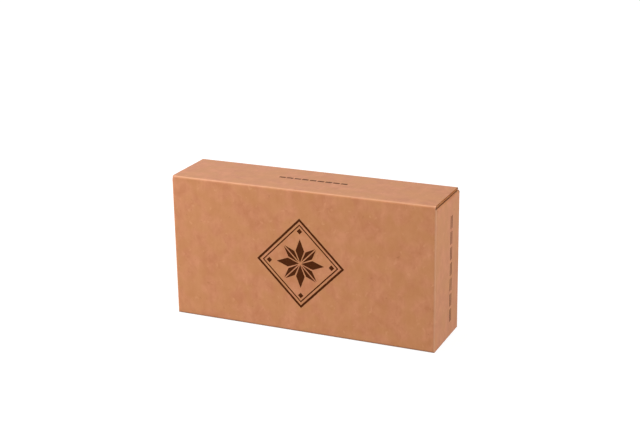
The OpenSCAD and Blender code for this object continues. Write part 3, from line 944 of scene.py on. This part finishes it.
front_core = paper_piece("front_fold_core", [hinge_core(0, 43)], *CORE, [fluting])
lid_core = paper_piece("lid_fold_core", [hinge_core(47, 90)], *CORE, [fluting])
quarter_rounds = [corner_core(1, BACK_DIP), corner_core(3), corner_core(5)]
corner_cores = paper_piece("corner_fold_cores", quarter_rounds, *CORE, [cut_edge])
strips = [end_strip(1), end_strip(-1)]
lid_edges = paper_piece("lid_end_strips", strips, -MEDIUM / 2, MEDIUM / 2, [crushed_end])
for piece, body in ((front_core, "carton"), (corner_cores, "carton"), (lid_core, "lid"), (lid_edges, "lid")):
    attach(piece, body)

# %% [markdown]
# ## Ink
# The print is one dark brown water-based ink, pressed on by a rubber plate. It sinks into the paper, so it
# is matt, a little uneven and lets some fibres show. Each printed shape is a four-cornered patch, stretched
# between its corners and laid on the hollowed panel a few hundredths of a millimetre proud. It could be
# painted in the paper's own material, but a thin piece keeps sharp edges at any distance and stands for the
# CAD's print.

# %% Ink material
def flexo_ink(name):
    """Dark brown ink on kraft: mottled colour, pinholes where the paper shows, low sheen."""
    material, tree = new_finish(name)
    spot = add(tree, "TexCoord").outputs["Object"]
    uneven = {"Vector": spot, "Scale": 1 / (1.8 * MM), "Detail": 4.0, "Roughness": 0.6}
    mottle = add(tree, "TexNoise", uneven).outputs[0]
    holes = add(tree, "TexNoise", {"Vector": spot, "Scale": 1 / (0.6 * MM), "Detail": 2.0}).outputs[0]
    coats = [(mottle, 0.0, 1.0, 1.0, "#4e2509"), (holes, 0.62, 0.72, 0.5, "#7d4724")]
    pitted = painted(tree, paint("#3a1803"), coats)
    relief = add(tree, "Bump", {"Height": mottle, "Strength": 0.3, "Distance": 0.03 * MM})
    skin = add(tree, "BsdfPrincipled", {"Base Color": pitted, "Roughness": 0.55,
                                        "Normal": relief.outputs[0], "IOR": 1.5, "Specular IOR Level": 0.05})
    add(tree, "OutputMaterial", {"Surface": skin.outputs[0]})
    return material


brown_ink = flexo_ink("brown_flexo_ink")
print("ink finish:", brown_ink.name)

# %% [markdown]
# ## Front ornament
# The front carries a square frame standing on its corner, a traditional eight-pointed star and four small
# diamonds. The shapes are listed as corners, and the lines of the frame are long thin patches. Filled
# curves could draw them too, but patches bend with the panel.

# %% Shapes of the ornament
BLADE_WAIST = 0.54


def corners_of(shape, turn, shift=(0.0, 0.0)):
    """The shape's four corners, shifted and then turned about the centre by an angle in degrees."""
    angle = math.radians(turn)
    spin = np.array([[math.cos(angle), -math.sin(angle)], [math.sin(angle), math.cos(angle)]])
    return (np.array(shape, float) + shift) @ spin.T


def frame_sides(size, line):
    """Four mitred sides of a square standing on its corner, of a given point-to-point size."""
    out, inner = size / 2, size / 2 - math.sqrt(2) * line
    return [corners_of([(out, 0), (0, out), (0, inner), (inner, 0)], 90 * k) for k in range(4)]


def star_blades(size, gap):
    """Eight kite blades with bare gaps between them, every second one split down its middle. A blade is
    widest at BLADE_WAIST of its length."""
    tip, blades = size / 2, []
    waist = tip * BLADE_WAIST * np.array([math.cos(math.pi / 8), math.sin(math.pi / 8)])
    side = waist + np.array([gap / 2, -gap / 2])
    for k in range(8):
        if k % 2 == 0:
            blades.append(corners_of([(gap, 0), side, (tip, 0), side * (1, -1)], 45 * k))
            continue
        for s in (1, -1):
            near = side[0] * gap / 2 / side[1]
            far = tip - (tip - side[0]) * gap / 2 / side[1]
            root, end = np.array([max(near, gap) + gap / 2, gap / 2]), np.array([far, gap / 2])
            half = np.array([root, side, side * 0.5 + end * 0.5, end])
            blades.append(corners_of(half * (1, s), 45 * k))
    return blades


frame_size, frame_line, frame_gap, inner_line = 70.0, 1.6, 1.6, 0.9
star_size, star_gap, diamond_half, diamond_ring = 38.0, 0.9, 2.2, 25.0
inner_size = frame_size - 2 * math.sqrt(2) * (frame_line + frame_gap)
diamond = [(diamond_half, 0), (0, diamond_half), (-diamond_half, 0), (0, -diamond_half)]
ornament = frame_sides(frame_size, frame_line) + frame_sides(inner_size, inner_line)
ornament += star_blades(star_size, star_gap)
ornament += [corners_of(diamond, 90 * k, (diamond_ring, 0)) for k in range(4)]
print(len(ornament), "ink shapes on the front")

# %% A patch of ink
CREEP = 0.03


def ink_patch(corners, lay):
    """Bilinear patch of 24 by 5 points: the first side runs corner 0 to 1, the far side corner 3 to 2. Its
    edges wander by CREEP times a sum of sines, as ink creeps along fibres."""
    along = np.linspace(0, 1, 24)[:, None, None]
    across = np.linspace(0, 1, 5)[None, :, None]
    a, b, c, d = np.array(corners, float)
    flat = (1 - across) * ((1 - along) * a + along * b) + across * ((1 - along) * d + along * c)
    u, v = flat[..., 0], flat[..., 1]
    wander = np.stack([np.sin(5.1 * u + 3.7 * v) + np.sin(11.3 * v - 4.0 * u),
                       np.sin(6.3 * v - 2.9 * u) + np.sin(9.7 * u + 5.0 * v)], -1)
    flat = flat + CREEP * wander
    return lambda depth: (lay(flat[..., 0], flat[..., 1], depth), flat)


def dashes(length, height, count, off=0.0):
    """Rectangles in a row, each four fifths of its pitch long, at a distance off the row's middle."""
    pitch, half = length / count, height / 2
    middles, reach = (np.arange(count) - (count - 1) / 2) * pitch, 0.4 * pitch
    low, high = off - half, off + half
    return [[(m - reach, low), (m + reach, low), (m + reach, high), (m - reach, high)] for m in middles]

# %% Lay the ink on its panels
INK_PROUD, INK_SUNK = 0.05, 0.04
ORNAMENT_Z, RULE_OFF, RULE_HALF_PITCH = 54.5, 7.5, 1.3


def on_front(u, v, depth):
    """Front panel: u to the right and v up from the ornament's centre."""
    z = ORNAMENT_Z + v
    y = -BOX_D / 2 + depth + wall_hollow(WALLS[4, 0] + IN_W - u, z)
    return np.stack([u, y, z], -1)


def on_lid(u, v, depth):
    """Lid panel: u to the right and v to the back from its centre."""
    sag = hollow(v + IN_D, TUCK_Y + IN_D, u, -LID_W, LID_W, LID_SAG)
    return np.stack([u, v, BOX_H - depth - sag], -1)


def on_side(u, v, depth):
    """Right side panel: u up from its middle and v to the back."""
    z = SIDE_Z / 2 + u
    x = BOX_W / 2 - depth - wall_hollow(WALLS[2, 0] + IN_D - v, z)
    return np.stack([x, v, z], -1)


side_rules = [dash for way in (-1, 1) for dash in dashes(84, 1, 7, RULE_OFF + way * RULE_HALF_PITCH)]
prints = {
    "front_ornament_ink": (ornament, on_front, "front_print", "carton"),
    "lid_dashes_ink": (dashes(56, 2, 9), on_lid, "lid_print", "lid"),
    "side_rules_ink": (side_rules, on_side, "side_print", "carton"),
}
for name, (shapes, lay, node, body) in prints.items():
    patches = [ink_patch(shape, lay) for shape in shapes]
    piece = paper_piece(name, patches, -INK_PROUD, INK_SUNK, [brown_ink])
    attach(piece, body)
    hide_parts(node)

# %% [markdown]
# ## Floor and backdrop
# The photograph has a pure white ground. The floor and the world are white where the camera looks at them
# directly, and the floor still takes the box's shadow, because part of its white comes from the lamps. The
# floor glows a little less close to the box, so that the shadow there isn't drowned. Stronger lamps could
# burn the ground out to white, but they would bleach the box too.

# %% White ground
def seen(tree):
    """1 where a ray comes from the camera, a mirror or glass, and 0 for light that only bounces."""
    path = add(tree, "LightPath")
    direct = add(tree, "Math", {0: path.outputs["Is Camera Ray"], 1: path.outputs["Is Glossy Ray"]},
                 operation="MAXIMUM")
    return add(tree, "Math", {0: direct.outputs[0], 1: path.outputs["Is Transmission Ray"]},
               operation="MAXIMUM").outputs[0]


FLOOR_NEAR, FLOOR_FAR, FLOOR_GLOW = 0.2, 0.7, 0.86
floor_finish, tree = new_finish("white_studio_floor")
matt = add(tree, "BsdfDiffuse", {"Color": (0.25, 0.25, 0.25, 1.0)})
bounce = add(tree, "BsdfDiffuse", {"Color": (0.3, 0.3, 0.3, 1.0)})
camera_sees = seen(tree)
away = add(tree, "VectorMath", {0: add(tree, "TexCoord").outputs["Object"]}, operation="LENGTH")
whiter = {"From Min": FLOOR_NEAR, "From Max": FLOOR_FAR, "To Min": FLOOR_GLOW, "To Max": 1.0}
ground = add(tree, "MapRange", {"Value": away.outputs["Value"], **whiter})
glow = add(tree, "Emission", {"Color": (1.0, 1.0, 1.0, 1.0), "Strength": ground.outputs[0]})
both = add(tree, "AddShader", {0: matt.outputs[0], 1: glow.outputs[0]})
shown = add(tree, "MixShader", {0: camera_sees, 1: bounce.outputs[0], 2: both.outputs[0]})
add(tree, "OutputMaterial", {"Surface": shown.outputs[0]})

FLOOR_HALF, FLOOR_DROP = 6, 0.0003
floor_mesh = bpy.data.meshes.new("studio_floor")
floor_corners = [(FLOOR_HALF * x, FLOOR_HALF * y, -FLOOR_DROP)
                 for x, y in ((-1, -1), (1, -1), (1, 1), (-1, 1))]
floor_mesh.from_pydata(floor_corners, [], [(0, 1, 2, 3)])
floor_mesh.materials.append(floor_finish)
floor = bpy.data.objects.new("studio_floor", floor_mesh)
bpy.context.scene.collection.objects.link(floor)
print("floor reaches", FLOOR_HALF, "m to each side,", FLOOR_DROP / MM, "mm below the box")

# %% White world
AMBIENT = 0.1
world = bpy.data.worlds.new("white_studio")
bpy.context.scene.world = world
world.use_nodes = True
world.node_tree.nodes.clear()
tree = world.node_tree
ambient = add(tree, "Background", {"Color": (1.0, 1.0, 1.0, 1.0), "Strength": AMBIENT})
backdrop = add(tree, "Background", {"Color": (1.0, 1.0, 1.0, 1.0), "Strength": 1.0})
mixed = add(tree, "MixShader", {0: seen(tree), 1: ambient.outputs[0], 2: backdrop.outputs[0]})
add(tree, "OutputWorld", {"Surface": mixed.outputs[0]})
print("world:", world.name, "lights the box at a strength of", AMBIENT)

# %% [markdown]
# ## Light
# Five soft lamps stand round the box, as for a catalogue picture: a key lamp low at the left lights the
# front, a higher one lights the lid and makes the front fold shine, one at the right opens up the side
# panel, and a weak one behind gives the lid a little sheen. The fifth, a small one, stands behind on the
# floor, no higher than the box. It lights the back panel and can't reach the lid. A picture of a studio
# could light the box instead, but lamps can be placed and measured one by one.

# %% Lamps
BOX_MIDDLE = Vector((0.0, 0.0, 0.055))


def soft_lamp(name, place, size, power):
    """A square area lamp at a place, in metres, turned to face the middle of the box."""
    lamp = bpy.data.lights.new(name, "AREA")
    lamp.shape = "SQUARE"
    lamp.size = size
    lamp.energy = power
    made = bpy.data.objects.new(name, lamp)
    made.location = place
    made.rotation_mode = "QUATERNION"
    made.rotation_quaternion = (BOX_MIDDLE - Vector(place)).to_track_quat("-Z", "Y")
    bpy.context.scene.collection.objects.link(made)
    return made


lamps = [
    soft_lamp("key_softbox", (-0.85, -0.88, 0.32), 0.7, 12.6),
    soft_lamp("top_softbox", (-0.85, -0.35, 0.9), 0.7, 12.2),
    soft_lamp("right_softbox", (1.15, -0.2, 0.62), 0.6, 13.8),
    soft_lamp("back_softbox", (-0.65, 1.1, 0.6), 0.8, 1.5),
    soft_lamp("back_panel_lamp", (-0.1, 1.25, 0.05), 0.12, 4.0),
]
print("lamps in watts:", {lamp.name: round(lamp.data.energy, 1) for lamp in lamps})

# %% [markdown]
# ## Camera
# The camera was solved from the box's corners in the picture: 24 degrees round to the right, 18.3 degrees
# up, with a hint of roll, from one metre away. The lens is long, about 76 mm on a 36 mm sensor. It could be
# set by eye, but solved it agrees to about half a pixel.

# %% Camera
AZIMUTH, ELEVATION, ROLL = 0.41846, 0.32002, -0.0151
DISTANCE, TO_RIGHT, UPWARDS = 1.01361, 0.004212, 0.02883
right = Vector((math.cos(AZIMUTH), math.sin(AZIMUTH), 0))
flat = math.cos(ELEVATION)
back = Vector((math.sin(AZIMUTH) * flat, -math.cos(AZIMUTH) * flat, math.sin(ELEVATION)))
up = back.cross(right)
level = right * math.cos(ROLL) + up * math.sin(ROLL)
upright = up * math.cos(ROLL) - right * math.sin(ROLL)
place = back * DISTANCE + level * TO_RIGHT + upright * UPWARDS + BOX_MIDDLE
lens = bpy.data.cameras.new("camera")
lens.sensor_width = 36
lens.lens = 76.0
camera = bpy.data.objects.new("camera", lens)
camera.matrix_world = Matrix(((*level,), (*upright,), (*back,))).transposed().to_4x4()
camera.location = place
bpy.context.scene.collection.objects.link(camera)
bpy.context.scene.camera = camera
bpy.context.scene.view_settings.view_transform = "Standard"
print("camera at", [round(c, 3) for c in place])
